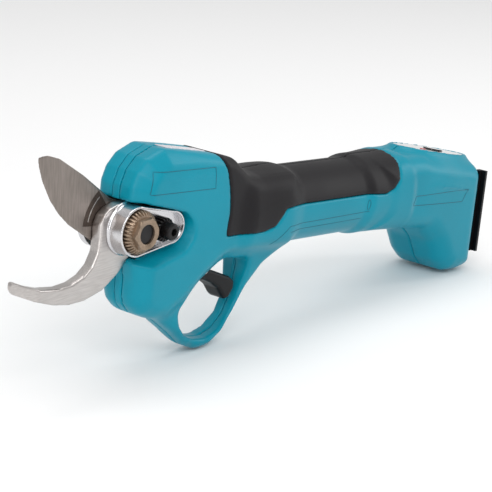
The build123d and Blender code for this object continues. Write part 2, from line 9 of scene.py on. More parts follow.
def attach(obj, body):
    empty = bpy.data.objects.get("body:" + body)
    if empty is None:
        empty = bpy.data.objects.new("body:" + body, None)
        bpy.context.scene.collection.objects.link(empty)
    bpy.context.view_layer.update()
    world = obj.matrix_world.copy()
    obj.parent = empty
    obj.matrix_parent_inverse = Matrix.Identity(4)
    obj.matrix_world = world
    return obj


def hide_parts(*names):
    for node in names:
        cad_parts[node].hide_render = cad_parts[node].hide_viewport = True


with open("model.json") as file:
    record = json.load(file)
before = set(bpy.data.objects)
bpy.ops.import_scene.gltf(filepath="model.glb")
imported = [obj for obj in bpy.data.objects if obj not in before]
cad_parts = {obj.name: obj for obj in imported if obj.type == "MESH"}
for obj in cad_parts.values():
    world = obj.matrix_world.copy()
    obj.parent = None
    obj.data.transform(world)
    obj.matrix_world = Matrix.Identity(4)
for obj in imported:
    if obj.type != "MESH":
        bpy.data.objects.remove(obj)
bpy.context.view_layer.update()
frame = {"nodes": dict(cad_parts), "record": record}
scene = bpy.context.scene
print("frame loaded:", len(frame["nodes"]), "nodes")

# The tool's own frame is in millimetres: X along the handle, blades at -X, Y across with the left side
# at -Y, Z up across the handle, pivot at X = Z = 0. Standing it on its guard and heel gives the row frame.
stand = {"turn": 5.054, "shiftX": -90.8254091, "shiftZ": 63.7114411}
standCos = math.cos(math.radians(stand["turn"]))
standSin = math.sin(math.radians(stand["turn"]))


def turnToRow(points):
    # a turn about Y: X takes x cos + z sin, Z takes z cos - x sin
    x, y, z = points[..., 0], points[..., 1], points[..., 2]
    return np.stack([x * standCos + z * standSin, y, z * standCos - x * standSin], -1)


def toRow(points):
    shift = np.array([stand["shiftX"], 0.0, stand["shiftZ"]])
    return (turnToRow(np.asarray(points, float)) + shift) / 1000


# camera
view = {"azimuth": -51.06, "elevation": 13.22, "roll": 6.20, "away": 800.0,
        "target": (61.29, -17.0, -11.42), "lens": 140.61, "sensor": 36.0}


def makeCamera():
    # back points from the target to the eye; right and up are then rolled about it
    a, e, r = (math.radians(view[k]) for k in ("azimuth", "elevation", "roll"))
    back = np.array([math.sin(a) * math.cos(e), -math.cos(a) * math.cos(e), math.sin(e)])
    right = np.array([math.cos(a), math.sin(a), 0.0])
    up = np.cross(back, right)
    right, up = right * math.cos(r) + up * math.sin(r), up * math.cos(r) - right * math.sin(r)
    eye = toRow(np.array(view["target"]) + back * view["away"])
    data = bpy.data.cameras.new("studioCamera")
    data.lens, data.sensor_width, data.sensor_fit = view["lens"], view["sensor"], "HORIZONTAL"
    data.clip_start, data.clip_end = 0.05, 20.0
    camera = bpy.data.objects.new("studioCamera", data)
    scene.collection.objects.link(camera)
    axes = [turnToRow(v) for v in (right, up, back)]
    camera.matrix_world = Matrix([[axes[0][i], axes[1][i], axes[2][i], eye[i]] for i in range(3)]
                                 + [[0, 0, 0, 1]])
    scene.camera = camera


makeCamera()


# materials
def linearColour(code):
    # sRGB hex to linear: c / 12.92 below 0.04045, else ((c + 0.055) / 1.055) ** 2.4
    parts = [int(code[i:i + 2], 16) / 255 for i in (1, 3, 5)]
    return tuple(c / 12.92 if c <= 0.04045 else ((c + 0.055) / 1.055) ** 2.4 for c in parts) + (1.0,)


def addNode(tree, kind, values=None, links=None, **settings):
    node = tree.nodes.new(kind)
    for key, value in settings.items():
        setattr(node, key, value)
    for key, value in (values or {}).items():
        node.inputs[key].default_value = value
    for key, source in (links or {}).items():
        tree.links.new(source, node.inputs[key])
    return node


def makeMaterial(name, look):
    # two noises in real millimetres: a broad one mixes two close colours and moves the roughness,
    # a fine one, stretched where the finish has a lay, gives the bump
    material = bpy.data.materials.new(name)
    material.use_nodes = True
    tree = material.node_tree
    tree.nodes.clear()
    coords = addNode(tree, "ShaderNodeTexCoord")
    broad = addNode(tree, "ShaderNodeTexNoise", {"Scale": 1000 / look["patch"], "Detail": 4.0},
                    {"Vector": coords.outputs["Object"]})
    lay = addNode(tree, "ShaderNodeMapping", {"Scale": look.get("lay", (1, 1, 1)),
                                              "Rotation": look.get("layTurn", (0, 0, 0))},
                  {"Vector": coords.outputs["Object"]})
    fine = addNode(tree, "ShaderNodeTexNoise", {"Scale": 1000 / look["grain"], "Detail": 3.0},
                   {"Vector": lay.outputs["Vector"]})
    blend = addNode(tree, "ShaderNodeMath", {1: look.get("grainShare", 0.3)},
                    {0: fine.outputs["Fac"]}, operation="MULTIPLY")
    spread = addNode(tree, "ShaderNodeMath", {1: 1 - look.get("grainShare", 0.3), 2: 0.0},
                     {0: broad.outputs["Fac"], 2: blend.outputs[0]}, operation="MULTIPLY_ADD")
    ramp = addNode(tree, "ShaderNodeValToRGB", None, {"Fac": spread.outputs[0]})
    ramp.color_ramp.elements[0].position, ramp.color_ramp.elements[1].position = 0.35, 0.65
    ramp.color_ramp.elements[0].color = linearColour(look["dark"])
    ramp.color_ramp.elements[1].color = linearColour(look["light"])
    rough = addNode(tree, "ShaderNodeMapRange", {"To Min": look["rough"][0], "To Max": look["rough"][1],
                                                 "From Min": 0.3, "From Max": 0.7},
                    {"Value": spread.outputs[0]})
    bump = addNode(tree, "ShaderNodeBump", {"Strength": look["bump"], "Distance": look["grain"] / 1000 * 0.3},
                   {"Height": fine.outputs["Fac"]})
    shader = addNode(tree, "ShaderNodeBsdfPrincipled",
                     {"Metallic": look.get("metal", 0.0), "Coat Weight": look.get("coat", 0.0),
                      "Coat Roughness": look.get("coatRough", 0.1),
                      "Anisotropic": look.get("aniso", 0.0)},
                     {"Base Color": ramp.outputs["Color"], "Roughness": rough.outputs[0],
                      "Normal": bump.outputs["Normal"]})
    if not look.get("metal"):
        shader.inputs["IOR"].default_value = look.get("ior", 1.5)
        shader.inputs["Specular IOR Level"].default_value = look.get("gloss", 0.5)
    if look.get("glow"):
        shader.inputs["Emission Color"].default_value = linearColour(look["light"])
        shader.inputs["Emission Strength"].default_value = look["glow"]
    output = addNode(tree, "ShaderNodeOutputMaterial")
    tree.links.new(shader.outputs[0], output.inputs["Surface"])
    return material


finishes = {
    # glass-filled nylon, moulded in teal: a satin face with a fine spark-eroded grain
    "mouldedTealNylon": {"light": "#008CA2", "dark": "#008499", "rough": (0.30, 0.38), "patch": 30.0,
                         "grain": 0.55, "bump": 0.10, "ior": 1.5, "gloss": 0.22},
    # the same nylon in shadow colour for the thin parting grooves
    "partingGroove": {"light": "#005F70", "dark": "#005060", "rough": (0.5, 0.6), "patch": 12.0,
                      "grain": 0.5, "bump": 0.1},
    # thermoplastic rubber overmould: near black, matt, with a soft pebbled grain
    "overmouldedRubber": {"light": "#171518", "dark": "#110F12", "rough": (0.44, 0.56), "patch": 20.0,
                          "grain": 0.5, "bump": 0.22, "ior": 1.5, "gloss": 0.25},
    # ground and polished tool steel hook: long fine grinding marks along the blade
    "groundHookSteel": {"light": "#CBC6C3", "dark": "#B2ADAA", "rough": (0.26, 0.38), "patch": 14.0,
                        "grain": 0.5, "bump": 0.12, "metal": 1.0, "lay": (0.06, 1.0, 1.0), "grainShare": 0.6},
    # fluoropolymer-coated blade steel: a warm grey satin with brushed marks across the blade
    "coatedBladeSteel": {"light": "#968D87", "dark": "#7D756F", "rough": (0.30, 0.42), "patch": 16.0,
                         "grain": 0.5, "bump": 0.15, "metal": 0.9, "lay": (1.0, 1.0, 0.07),
                         "layTurn": (0, 0.7, 0), "grainShare": 0.6},
    # machined aluminium casting: bright, with soft tool marks
    "machinedAluminium": {"light": "#DCDBDC", "dark": "#C4C3C6", "rough": (0.16, 0.28), "patch": 8.0,
                          "grain": 0.5, "bump": 0.10, "metal": 1.0, "grainShare": 0.5},
    # phosphated nut steel: bronze brown, lightly worn
    "phosphatedNutSteel": {"light": "#A8927F", "dark": "#80705F", "rough": (0.30, 0.45), "patch": 4.0,
                           "grain": 0.4, "bump": 0.25, "metal": 0.85, "grainShare": 0.4},
    # black oxide on alloy screws: almost black with an oily sheen
    "blackOxideSteel": {"light": "#2B2A2B", "dark": "#1D1C1D", "rough": (0.25, 0.38), "patch": 5.0,
                        "grain": 0.4, "bump": 0.15, "metal": 0.7},
    # hardened bearing steel, ground bright
    "groundBearingSteel": {"light": "#B5B4B2", "dark": "#9B9A98", "rough": (0.18, 0.3), "patch": 8.0,
                           "grain": 0.4, "bump": 0.08, "metal": 1.0},
    # painted shade: blade steel darkened brown in a band round the pivot, just outside the holder's rim
    "paintedShadeBladeSteel": {"light": "#5A4F48", "dark": "#3C342F", "rough": (0.3, 0.5), "patch": 5.0,
                     "grain": 0.6, "bump": 0.3, "metal": 0.8, "grainShare": 0.5},
    # sintered bronze bush, dull gold
    "sinteredBronze": {"light": "#B08A55", "dark": "#8F6D40", "rough": (0.35, 0.5), "patch": 4.0,
                       "grain": 0.3, "bump": 0.3, "metal": 1.0},
    # black glass-filled nylon: trigger, terminal block and rails
    "mouldedBlackNylon": {"light": "#100F11", "dark": "#0B0A0C", "rough": (0.34, 0.46), "patch": 10.0,
                          "grain": 0.5, "bump": 0.12, "ior": 1.52, "gloss": 0.2},
    # piano-black acrylic panel cover, polished
    "polishedBlackAcrylic": {"light": "#17151A", "dark": "#100F13", "rough": (0.05, 0.10), "patch": 20.0,
                             "grain": 2.0, "bump": 0.01, "coat": 0.6, "ior": 1.5},
    # tinted red lens of the lamp
    "tintedRedLens": {"light": "#C8202A", "dark": "#A8141E", "rough": (0.10, 0.18), "patch": 4.0,
                      "grain": 1.0, "bump": 0.03, "glow": 0.25},
    # clear acrylic inlay over a pale backing
    "paleAcrylicInlay": {"light": "#DCD6DE", "dark": "#CFC8D2", "rough": (0.08, 0.16), "patch": 10.0,
                         "grain": 1.0, "bump": 0.02, "coat": 0.5},
    # enamelled winding wire
    "enamelledCopper": {"light": "#B8622F", "dark": "#94491F", "rough": (0.25, 0.4), "patch": 4.0,
                        "grain": 0.5, "bump": 0.3, "metal": 0.9},
    # solder-masked board
    "solderMaskedBoard": {"light": "#1E6B3C", "dark": "#17552F", "rough": (0.3, 0.45), "patch": 6.0,
                          "grain": 0.8, "bump": 0.15},
    # sintered magnet, dark nickel plated
    "platedMagnet": {"light": "#4A4A4E", "dark": "#38383C", "rough": (0.3, 0.4), "patch": 5.0,
                     "grain": 0.5, "bump": 0.1, "metal": 0.8},
}
materials = {name: makeMaterial(name, look) for name, look in finishes.items()}
print("materials made:", len(materials))

slotFinish = {
    "teal_housing": "mouldedTealNylon", "teal_strip": "mouldedTealNylon", "grip_rubber": "overmouldedRubber",
    "hook_steel": "groundHookSteel", "coated_blade_steel": "coatedBladeSteel",
    "machined_aluminium": "machinedAluminium", "bronze_nut_steel": "phosphatedNutSteel",
    "black_oxide_steel": "blackOxideSteel", "bearing_steel": "groundBearingSteel",
    "bronze_bush": "sinteredBronze", "black_plastic": "mouldedBlackNylon",
    "gloss_black": "polishedBlackAcrylic", "lamp_red": "tintedRedLens", "copper": "enamelledCopper",
    "board_green": "solderMaskedBoard", "magnet_black": "platedMagnet",
    "zinc_screws": "groundBearingSteel", "spring_steel": "groundBearingSteel",
}
nodeSlots = {part["node"]: part["material_slot"] for part in frame["record"]["subparts"]}
for nodeName, node in frame["nodes"].items():
    finish = materials[slotFinish.get(nodeSlots.get(nodeName), "mouldedBlackNylon")]
    if node.data.materials:
        for index in range(len(node.data.materials)):
            node.data.materials[index] = finish
    else:
        node.data.materials.append(finish)


# distance fields: negative inside, in millimetres
def roundCorners(points, radii, steps=5):
    # each corner gives way to an arc tangent to its two sides
    points = [np.array(p, float) for p in points]
    if not hasattr(radii, "__len__"):
        radii = [radii] * len(points)
    outline = []
    for i, (corner, radius) in enumerate(zip(points, radii)):
        before, after = points[i - 1] - corner, points[(i + 1) % len(points)] - corner
        lengthBefore, lengthAfter = np.linalg.norm(before), np.linalg.norm(after)
        before, after = before / lengthBefore, after / lengthAfter
        half = math.acos(max(-1, min(1, float(before @ after)))) / 2
        if radius <= 0 or half > 1.55:
            outline.append(tuple(corner))
            continue
        reach = min(radius / math.tan(half), 0.48 * lengthBefore, 0.48 * lengthAfter)
        start, end = corner + before * reach, corner + after * reach
        share = np.linspace(0, 1, steps)[:, None]
        curve = (1 - share) ** 2 * start + 2 * share * (1 - share) * corner + share ** 2 * end
        outline += [tuple(p) for p in curve]
    return outline


def outlineDistance(x, z, outline):
    # least distance to any side of the outline, signed by the even-odd rule
    x, z = np.broadcast_arrays(x, z)
    best, sign = np.full(x.shape, 1e9), np.ones(x.shape)
    for (ax, az), (bx, bz) in zip(outline, outline[1:] + outline[:1]):
        ex, ez, wx, wz = bx - ax, bz - az, x - ax, z - az
        along = np.clip((wx * ex + wz * ez) / max(ex * ex + ez * ez, 1e-9), 0, 1)
        best = np.minimum(best, (wx - along * ex) ** 2 + (wz - along * ez) ** 2)
        above, below, left = z >= az, z < bz, ex * wz > ez * wx
        flip = (above & below & left) | ~(above | below | left)
        sign = np.where(flip, -sign, sign)
    return sign * np.sqrt(best)


def meet(a, b, radius=0.0):
    # both solids at once, their shared edge rounded by radius
    if np.ndim(radius) == 0 and radius <= 0:
        return np.maximum(a, b)
    inner = np.minimum(np.maximum(a, b), -radius)
    return inner + np.sqrt(np.maximum(a + radius, 0) ** 2 + np.maximum(b + radius, 0) ** 2)


def join(a, b, radius=0.0):
    # either solid, with a hollow of radius where they meet
    return -meet(-a, -b, radius)


def smoothStep(value, start, end):
    t = np.clip((value - start) / (end - start), 0, 1)
    return t * t * (3 - 2 * t)


def gridOf(low, high, cell):
    # three broadcastable coordinate arrays over a box
    counts = [int(math.ceil((h - l) / cell)) + 1 for l, h in zip(low, high)]
    axes = [l + cell * np.arange(n) for l, n in zip(low, counts)]
    return axes[0][:, None, None], axes[1][None, :, None], axes[2][None, None, :]


def fieldAt(field, low, cell, points):
    # trilinear reading of a field at points
    place = np.clip((points - low) / cell, 0, np.array(field.shape) - 1.001)
    base = place.astype(int)
    share = place - base
    total = 0
    for corner in range(8):
        step = np.array([corner & 1, corner >> 1 & 1, corner >> 2 & 1])
        weight = np.prod(np.where(step, share, 1 - share), axis=1)
        index = base + step
        total = total + weight * field[index[:, 0], index[:, 1], index[:, 2]]
    return total


def netOf(field, low, cell):
    # a surface net: one point in every cell that the surface crosses, at the mean of its edge
    # crossings, then a four-sided face round every crossed grid edge; points settle on the surface
    low = np.array(low, float)
    inside = field < 0
    cells = np.array(field.shape) - 1
    total = np.zeros(tuple(cells) + (3,), np.float32)
    count = np.zeros(tuple(cells), np.float32)
    crossings = []
    for axis in range(3):
        others = [k for k in range(3) if k != axis]
        near, far = [slice(None)] * 3, [slice(None)] * 3
        near[axis], far[axis] = slice(0, -1), slice(1, None)
        near, far = tuple(near), tuple(far)
        crossed = inside[near] != inside[far]
        share = np.where(crossed, field[near] / np.where(crossed, field[near] - field[far], 1), 0)
        crossings.append((axis, others, crossed, inside[near]))
        for du in (0, 1):
            for dv in (0, 1):
                part = [slice(None)] * 3
                part[others[0]] = slice(du, du + cells[others[0]])
                part[others[1]] = slice(dv, dv + cells[others[1]])
                hit = crossed[tuple(part)]
                total[..., axis] += share[tuple(part)]
                total[..., others[0]] += hit * du
                total[..., others[1]] += hit * dv
                count += hit
    used = count > 0
    number = np.full(tuple(cells), -1)
    number[used] = np.arange(used.sum())
    spots = np.argwhere(used) + total[used] / count[used][:, None]
    points = low + spots * cell
    faces = []
    for axis, others, crossed, startInside in crossings:
        keep = crossed.copy()
        for k in others:
            edge = [slice(None)] * 3
            edge[k] = 0
            keep[tuple(edge)] = False
            edge[k] = -1
            keep[tuple(edge)] = False
        at = np.argwhere(keep)
        flip = startInside[keep]
        u, v = np.zeros(3, int), np.zeros(3, int)
        u[others[0]], v[others[1]] = 1, 1
        ring = [number[tuple((at - s).T)] for s in (0 * u, u, u + v, v)]
        quad = np.stack(ring, 1)
        if axis == 1:
            flip = ~flip
        quad[~flip] = quad[~flip][:, ::-1]
        faces.append(quad)
    faces = np.concatenate(faces)
    step = 0.5 * cell
    for turn in range(3):
        value = fieldAt(field, low, cell, points)
        slope = np.stack([fieldAt(field, low, cell, points + d) - fieldAt(field, low, cell, points - d)
                          for d in np.eye(3) * step], 1) / (2 * step)
        size = np.maximum((slope ** 2).sum(1), 0.25)
        move = -(value / size)[:, None] * slope
        points = points + np.clip(move, -0.4 * cell, 0.4 * cell) * 0.8
    return points, faces


def addPiece(name, points, faces, finish, body, smooth=None):
    # points come in the tool's frame and go into the mesh in the row frame
    mesh = bpy.data.meshes.new(name)
    mesh.from_pydata(toRow(points), [], faces.tolist())
    mesh.materials.append(materials[finish])
    mesh.polygons.foreach_set("use_smooth", np.ones(len(mesh.polygons), bool))
    if smooth:
        mesh.set_sharp_from_angle(angle=math.radians(smooth))
    mesh.update()
    piece = bpy.data.objects.new(name, mesh)
    scene.collection.objects.link(piece)
    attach(piece, body)
    print(name, "faces", len(mesh.polygons))
    return piece


# housing and grips
shell = {
    "cell": 0.85, "low": (-6.0, -20.0, -61.0), "high": (240.0, 1.2, 34.0),
    # head: half width, its draft above and below a height, edge rounding from nose to body, and for
    # each nose chamfer the share of the outline's distance, its inset, the share of the width, the half width
    "headHalf": 14.5, "topDraft": (20, 0.13), "baseDraft": (-12, 0.12),
    "noseRound": 1.0, "headRound": 5.0, "roundFrom": 6, "roundTo": 22,
    "noseChamfers": [(0.8, 0.0, 0.6, 8.2), (0.625, 1.7, 0.78, 10.2)], "chamferRound": 0.6,
    # trigger guard, slimmer towards its lower front
    "guardHalf": 8.0, "guardRound": 4.2, "guardHoleRound": 1.6,
    "guardSlim": 2.4, "slimFrom": 36, "slimTo": 48, "slimLow": -38, "slimHigh": -20,
    # handle, its waist behind the head and its end ring
    "handleRadius": 16.95, "handleAxis": -0.5, "handleFront": 66, "handleBack": 178, "handleRound": 2.0,
    "waist": 1.7, "waistFrom": 68, "waistTo": 90, "ringRise": 1.45, "ringStart": 143.0, "ringFull": 150.0,
    # rear housing, narrower towards the handle
    "rearHalf": 18.45, "rearRound": 9.0, "rearTaper": 1.4, "taperFrom": 162, "taperTo": 196,
    "seatDepth": 14, "guardFillet": 6.0, "handleFillet": 9.0, "rearFillet": 3.5, "seatFillet": 3.0,
    # walls, seam and openings
    "gripDepth": 1.7, "wallHead": 3.0, "wallHandle": 3.5, "seam": 0.05, "screwBore": 3.1, "screwSink": 3.0,
    "pocketHalf": 5.5, "blockFront": 228, "blockHalf": 8.6, "blockMiddle": -16, "blockReach": 11.1,
    "stripHalf": 2.0, "stripDepth": 3.2, "stripEnd": 17,
    "headOutline": [(-2.6, 3), (-2.6, 17), (-0.2, 23.2), (4.6, 28.2), (13.5, 31.7), (30, 29.6), (47, 27.2),
                    (55, 25.2), (61, 20.4), (66, 16.4), (73, 14.4), (84, 14.4), (93, 14), (93, -13),
                    (66, -14.5), (54, -16), (43, -23), (33, -32), (24, -37.5), (16, -37.6), (10, -35.5),
                    (6.5, -32), (5, -27), (2.9, -18)],
    "headRadii": [0, 1.5, 1.5, 2, 3, 0, 12, 8, 12, 10, 8, 0, 0, 0, 6, 8, 10, 8, 6, 3, 4, 2, 2, 0],
    "noseOutline": [(-2.6, 3), (-2.6, 17), (-0.2, 23.2), (4.6, 28.2), (13.5, 31.7), (130, 31.7), (130, -60),
                    (36, -60), (22, -40), (10, -35.5), (6.5, -32), (5, -27), (2.9, -18)],
    "guardOutline": [(20, -14), (5, -27), (8, -34), (22, -40), (35, -49), (43, -55.4), (51, -58.6),
                     (59, -57.9), (67, -53), (73.5, -44.5), (80, -34), (86.5, -25.5), (95, -17.5), (95, -10)],
    "guardHole": [(59, -18.2), (49.5, -23.2), (38.5, -32.6), (33.6, -39.2), (35.4, -45), (40.8, -50.4),
                  (48, -53.2), (56, -54.0), (63.5, -51.6), (69.6, -46), (73.4, -39), (75.3, -30),
                  (76.6, -18.8)],
    "rearOutline": [(158, -15.0), (158, 14.0), (176, 16.8), (190, 16.6), (237, 9.6), (237, -41.6), (226, -43),
                    (218, -42.6), (211.5, -37), (205, -26.5), (196, -19.3)],
    "rearRadii": [0, 0, 8, 12, 9, 6, 3, 8, 12, 12, 8],
    "window": [(-30, 11.2), (2, 11.2), (9, 9.6), (18, 7.6), (25.4, 5.4), (28.2, 1.5), (27.8, -3.2),
               (24, -7.6), (12, -11.2), (3, -13.0), (-30, -13.0)],
    "windowFlare": 0.5,
    "gripOutline": [(41, 34), (44, 29), (45.8, 26), (48.4, 21), (50.6, 14), (51.9, 7.5), (52.2, 2.5),
                    (51.2, -7.2), (60, -7.0), (73.6, -6.6), (79.4, -4.8), (82.6, -1.2), (85.2, 2.2),
                    (92, 2.9), (148, 2.9), (157, 2.4), (163, 4.3), (166.6, 8), (168.2, 12.4),
                    (170.5, 16.0), (173.5, 19), (175, 34)],
    "triggerPocket": [(42.8, -11), (58, -11), (61, -18.5), (64, -24), (58, -30), (42.8, -31)],
}
panel = {"centre": (212.0, 15.6), "slope": 8.0, "long": 24.0, "wide": 12.2, "sunk": 1.75, "deep": 9,
         "ledge": 5.0}
inlay = {"middle": 34.6, "reach": 15.0, "half": 4.2, "foot": 22.5, "paleMiddle": 33.2, "paleReach": 12.0}
# each screw's X and Z and the depth of its post's outer end
screwPlaces = [(36, 20.7, 12.0), (16, -31, 11.2), (29.5, -41, 7.4), (170, 11, 17.2), (176, -12, 17.2),
               (228, -36, 17.2), (229, 4, 17.2)]


def panelCoords(x, y, z):
    # height above the panel's plane and an approximate distance outside its ellipse
    c, s = math.cos(math.radians(panel["slope"])), math.sin(math.radians(panel["slope"]))
    dx, dz = x - panel["centre"][0], z - panel["centre"][1]
    along, height = dx * c - dz * s, dx * s + dz * c
    ring = np.sqrt((along / panel["long"]) ** 2 + (y / panel["wide"]) ** 2)
    return height, (ring - 1) * panel["wide"] * (0.9 + 0.3 * np.minimum(ring, 1.5))


def bodyField(x, y, z):
    # head, trigger guard, handle, end ring, rear housing and panel seat joined with hollow fillets
    a = np.abs(y)
    head2 = outlineDistance(x, z, roundCorners(shell["headOutline"], shell["headRadii"]))
    nose2 = outlineDistance(x, z, roundCorners(shell["noseOutline"], 1.2))
    (top, topDraft), (base, baseDraft) = shell["topDraft"], shell["baseDraft"]
    half = shell["headHalf"] - topDraft * np.maximum(z - top, 0) - baseDraft * np.maximum(base - z, 0)
    share = smoothStep(x, shell["roundFrom"], shell["roundTo"])
    head = meet(head2, a - half, shell["noseRound"] + (shell["headRound"] - shell["noseRound"]) * share)
    for along, inset, across, width in shell["noseChamfers"]:
        head = meet(head, along * (nose2 + inset) + across * (a - width), shell["chamferRound"])
    guard2 = outlineDistance(x, z, roundCorners(shell["guardOutline"], 9.0))
    hole2 = outlineDistance(x, z, roundCorners(shell["guardHole"], 7.0))
    slim = shell["guardSlim"] * smoothStep(x, shell["slimFrom"], shell["slimTo"]) * (
        1 - smoothStep(z, shell["slimLow"], shell["slimHigh"]))
    guard = meet(guard2, a - shell["guardHalf"] + slim, shell["guardRound"])
    guard = meet(guard, -hole2, shell["guardHoleRound"])
    radial = np.sqrt(y ** 2 + (z - shell["handleAxis"]) ** 2)
    swell = shell["ringRise"] * smoothStep(x, shell["ringStart"], shell["ringFull"])
    waist = shell["waist"] * (smoothStep(x, shell["waistFrom"], shell["waistTo"]) - 1)
    ends = np.maximum(shell["handleFront"] - x, x - shell["handleBack"])
    handle = meet(radial - shell["handleRadius"] - swell - waist, ends, shell["handleRound"])
    rear2 = outlineDistance(x, z, roundCorners(shell["rearOutline"], shell["rearRadii"], 8))
    taper = shell["rearTaper"] * (1 - smoothStep(x, shell["taperFrom"], shell["taperTo"]))
    rear = meet(rear2, a - shell["rearHalf"] + taper, shell["rearRound"])
    height, ring = panelCoords(x, y, z)
    seat = meet(ring - 1.5 + 0.5 * np.minimum(height, 0), height - 0.25, 0.6)
    seat = np.maximum(seat, -shell["seatDepth"] - height)
    field = join(head, guard, shell["guardFillet"])
    field = join(field, handle, shell["handleFillet"])
    field = join(field, rear, shell["rearFillet"])
    field = join(field, seat, shell["seatFillet"])
    return field, guard, nose2


def windowField(x, a, z):
    # the opening round the boss flares outwards below and behind it, like a shallow dish
    flat = outlineDistance(x, z, roundCorners(shell["window"], 4.0))
    return flat - shell["windowFlare"] * np.maximum(a - 6.0, 0) * (1 - smoothStep(z, -5, 8))


def shellFields(left):
    # the rubber, the nose strips and the inlay are cut from the same outer form as the nylon
    low, cell = shell["low"], shell["cell"]
    x, y, z = gridOf(low, shell["high"], cell)
    body, guard, nose2 = bodyField(x, y, z)
    a = np.abs(y)
    window2 = windowField(x, a, z)
    grip2 = outlineDistance(x, z, roundCorners(shell["gripOutline"], 2.2))
    seamCut = y + shell["seam"]
    outer = meet(body, -window2, 0.9)
    stripZone = np.maximum(a - shell["stripHalf"], x - shell["stripEnd"])
    stripZone = np.maximum(stripZone, -shell["stripDepth"] - nose2)
    inlayZone = np.maximum(a - inlay["half"], np.abs(x - inlay["middle"]) - inlay["reach"])
    inlayZone = np.maximum(inlayZone, inlay["foot"] - z)
    height, ring = panelCoords(x, y, z)
    panelHole = np.maximum(ring - 0.25, -panel["sunk"] - height)
    deepHole = np.maximum(ring + panel["ledge"], -panel["deep"] - height)
    # nylon: full outside the grip, sunk under it
    nylon = meet(outer, -(grip2 - 0.12), 0.35)
    nylon = np.minimum(nylon, outer + shell["gripDepth"] + 0.1)
    wallThick = shell["wallHead"] + (shell["wallHandle"] - shell["wallHead"]) * smoothStep(x, 70, 80)
    hollow = body + wallThick
    hollow = np.maximum(hollow, -(guard + 2.0) * (z < -20) - 99 * (z >= -20))
    skirt = np.maximum(np.maximum(body + 0.5, window2 - 1.8), np.maximum(-window2, 5.9 - a))
    nylon = np.maximum(nylon, -hollow)
    if left:
        nylon = np.minimum(nylon, skirt)
    pocket = np.maximum(outlineDistance(x, z, shell["triggerPocket"]), a - shell["pocketHalf"])
    nylon = np.maximum(nylon, -pocket)
    nylon = np.maximum(nylon, -np.maximum(stripZone - 0.1, body - 0.5))
    nylon = np.maximum(nylon, -np.maximum(inlayZone - 0.1, -(body + 1.3)))
    nylon = np.maximum(nylon, -panelHole)
    nylon = np.maximum(nylon, -deepHole)
    block = np.maximum(shell["blockFront"] - x, a - shell["blockHalf"])
    block = np.maximum(block, np.abs(z - shell["blockMiddle"]) - shell["blockReach"])
    nylon = np.maximum(nylon, -block)
    if not left:
        for px, pz, depth in screwPlaces:
            bore = np.sqrt((x - px) ** 2 + (z - pz) ** 2)
            nylon = np.maximum(nylon, -np.maximum(bore - shell["screwBore"], depth - shell["screwSink"] - a))
    nylon = meet(nylon, seamCut, 0.3)
    rubber = meet(meet(outer - 0.12, grip2, 0.7), -(outer + shell["gripDepth"]), 0.2)
    rubber = np.maximum(rubber, -inlayZone)
    rubber = meet(rubber, seamCut, 0.15)
    return nylon, rubber


def mirrored(points, faces):
    # the right half is the left half through Y = 0, its faces turned back outwards
    return points * np.array([1, -1, 1]), faces[:, ::-1]


for sideName, isLeft in (("left", True), ("right", False)):
    nylonField, rubberField = shellFields(isLeft)
    for kind, values, finishName, slotName in (
            ("housing", nylonField, "mouldedTealNylon", "teal_housing"),
            ("grip", rubberField, "overmouldedRubber", "grip_rubber")):
        netPoints, netFaces = netOf(values.astype(np.float32), shell["low"], shell["cell"])
        if not isLeft:
            netPoints, netFaces = mirrored(netPoints, netFaces)
        piece = addPiece(sideName + "Shell" + kind.capitalize(), netPoints, netFaces, finishName, "root")
        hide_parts(sideName + "_" + kind)
print("housing made")

# nose strips and top inlay
strips = {"cell": 0.5, "low": (-4.0, -5.0, -42.0), "high": (54.0, 5.0, 34.0), "half": 1.82, "depth": 3.0,
          "end": 15.5, "upperFoot": 8, "lowerTop": -14.5, "bedGap": 0.1, "bedDepth": 1.2,
          "paleHalf": 3.7, "paleDepth": 0.9}


def makeStrips():
    x, y, z = gridOf(strips["low"], strips["high"], strips["cell"])
    body, _, nose2 = bodyField(x, y, z)
    a = np.abs(y)
    outer = meet(body, -windowField(x, a, z), 0.6)
    band = meet(meet(outer, a - strips["half"], 0.25), -strips["depth"] - nose2, 0.2)
    band = np.maximum(band, x - strips["end"])
    upper = np.maximum(band, strips["upperFoot"] - z)
    lower = np.maximum(band, z - strips["lowerTop"])
    # the bed lies in the inlay's recess with a small gap; the pale window lies over it
    gap = strips["bedGap"]
    bed = np.maximum(np.maximum(body + 0.25, -(body + strips["bedDepth"])),
                     np.maximum(a - inlay["half"] + gap, np.abs(x - inlay["middle"]) - inlay["reach"] + gap))
    bed = np.maximum(bed, inlay["foot"] - z)
    window = np.maximum(np.abs(x - inlay["paleMiddle"]) - inlay["paleReach"], inlay["foot"] - z)
    pale = np.maximum(body - 0.02, -(body + strips["paleDepth"]))
    pale = meet(meet(pale, a - strips["paleHalf"], 0.3), window, 0.3)
    for name, values, finishName, slotName, node in (
            ("upperNoseBand", upper, "mouldedTealNylon", "teal_strip", "upper_nose_strip"),
            ("lowerNoseBand", lower, "mouldedTealNylon", "teal_strip", "lower_nose_strip"),
            ("topInlayBed", bed, "mouldedBlackNylon", "black_plastic", None),
            ("topInlay", pale, "paleAcrylicInlay", "gloss_black", None)):
        points, faces = netOf(values.astype(np.float32), strips["low"], strips["cell"])
        piece = addPiece(name, points, faces, finishName, "root")
        if node:
            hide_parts(node)


makeStrips()

